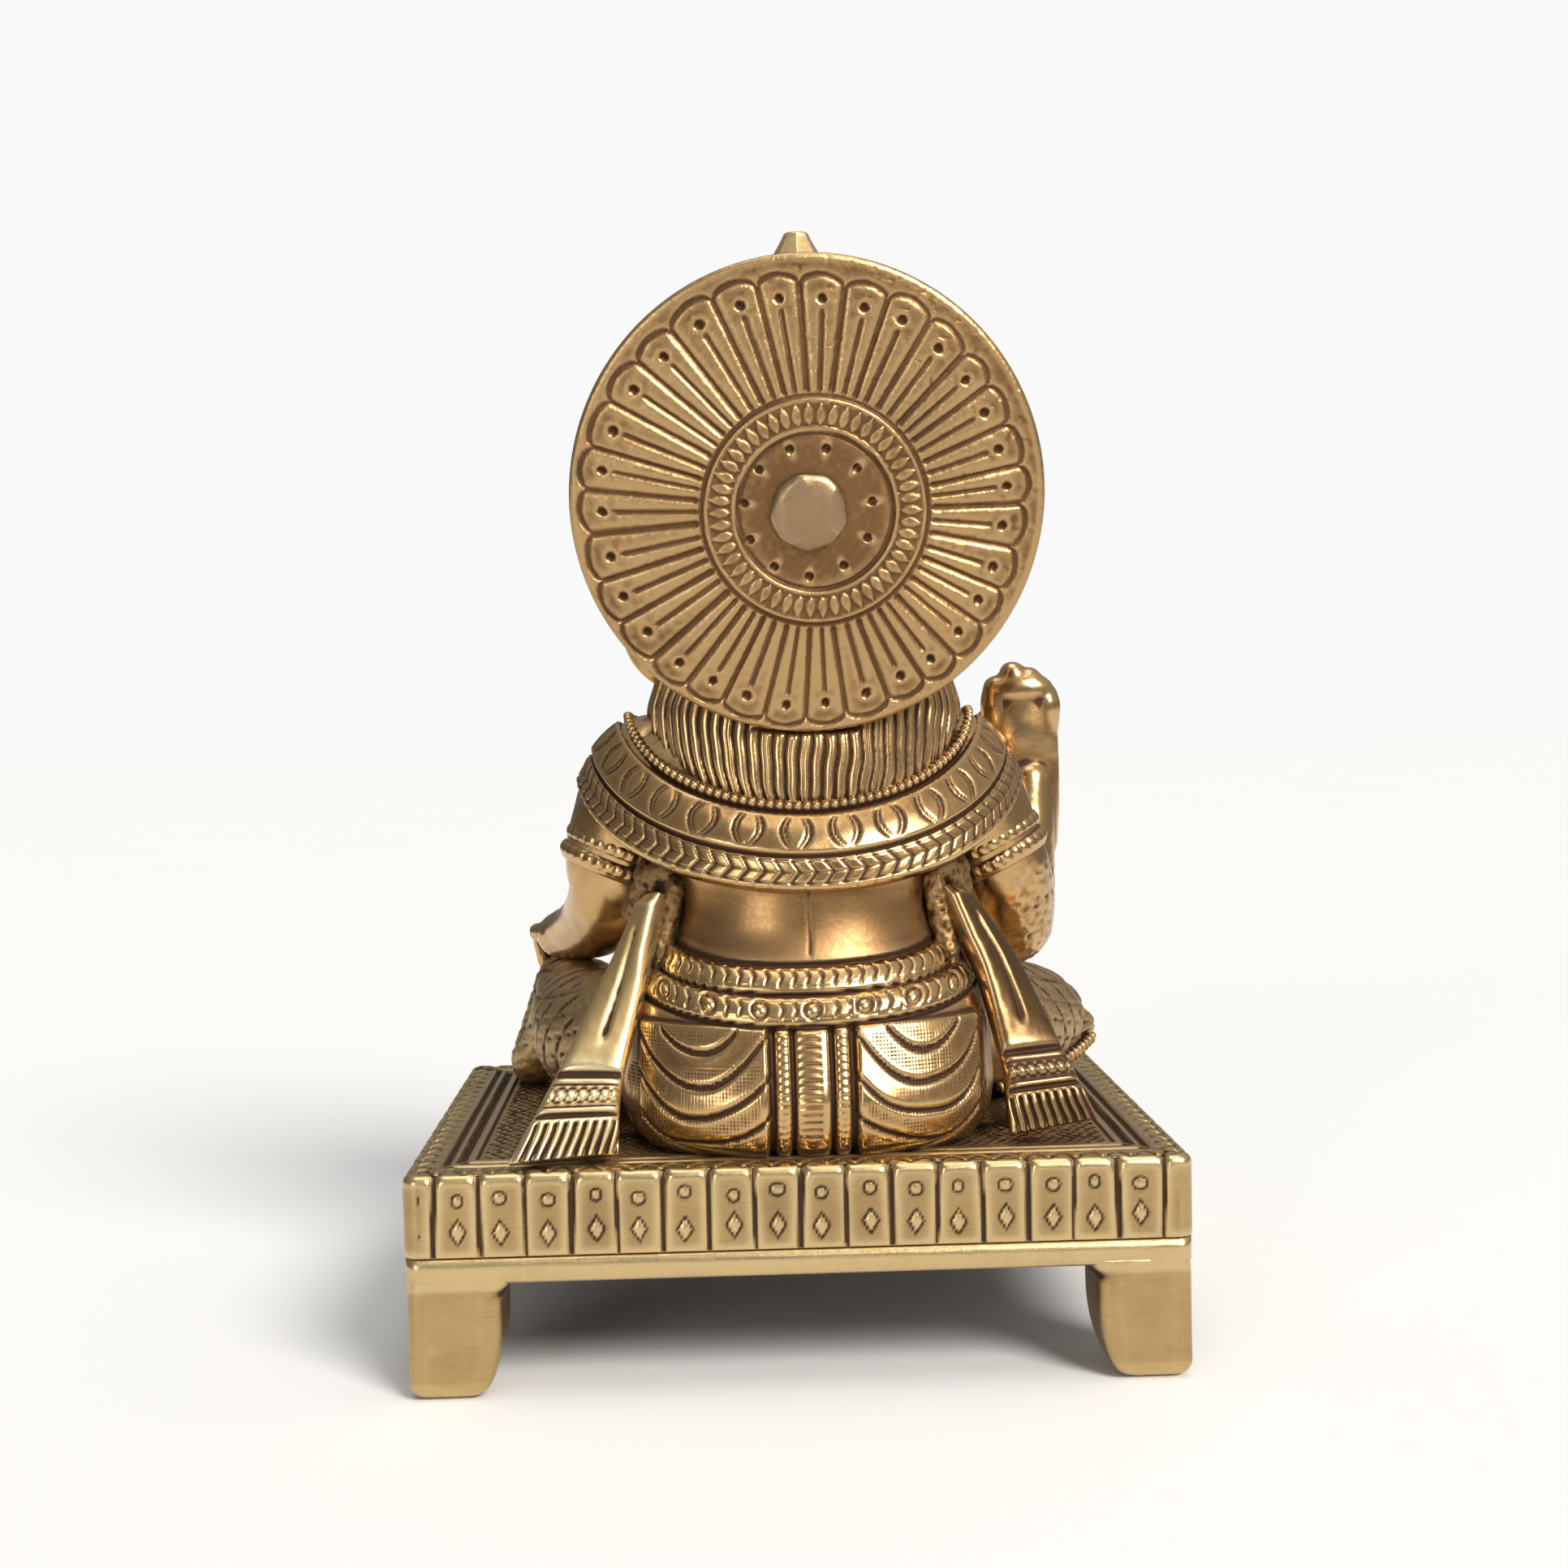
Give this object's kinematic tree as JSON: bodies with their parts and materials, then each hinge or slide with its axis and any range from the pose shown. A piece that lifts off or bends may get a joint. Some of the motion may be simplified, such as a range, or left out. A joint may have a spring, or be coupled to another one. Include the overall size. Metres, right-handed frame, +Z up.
{
  "type": "ganesha idol",
  "caption": "Seated elephant-headed deity in cast brass on a four-legged stool, with a round halo disc riveted behind the crown.",
  "frame": {"origin": "on the floor at the centre of the stool's footprint", "axes": "+Z up; the figure faces -Y, so its back and the halo's outer face look toward +Y; the figure's own left hand is toward +X"},
  "size_m": [0.125, 0.095, 0.1895],
  "materials": {
    "stool_brass": "cast, brushed on the rail and legs, chased on the band and deck",
    "figure_brass": "chased and hand polished, dark patina left in the recesses",
    "halo_brass": "satin, chased petals with a tan patina",
    "rivet_brass": "peened, dull",
    "polished_brass": "filed and buffed bright",
    "raw_brass": "matte as-cast skin with engraved cloth",
    "braze_metal": "rough braze, darkened",
    "fixing_brass": "plain turned"
  },
  "bodies": {
    "root": {"chowki": "stool_brass", "body": "figure_brass", "head": "figure_brass", "left_ear": "figure_brass", "right_ear": "figure_brass", "left_tusk": "polished_brass", "right_tusk": "polished_brass", "crown": "figure_brass", "crown_finial": "polished_brass", "halo_disc": "halo_brass", "halo_rivet": "rivet_brass", "left_arm": "figure_brass", "right_arm": "figure_brass", "left_leg": "raw_brass", "right_leg": "raw_brass", "left_sash_tail": "polished_brass", "right_sash_tail": "polished_brass", "left_armpit_braze": "braze_metal", "right_armpit_braze": "braze_metal", "fixing_studs": "fixing_brass", "fixing_washers": "fixing_brass", "fixing_nuts": "fixing_brass"}
  },
  "joints": []
}
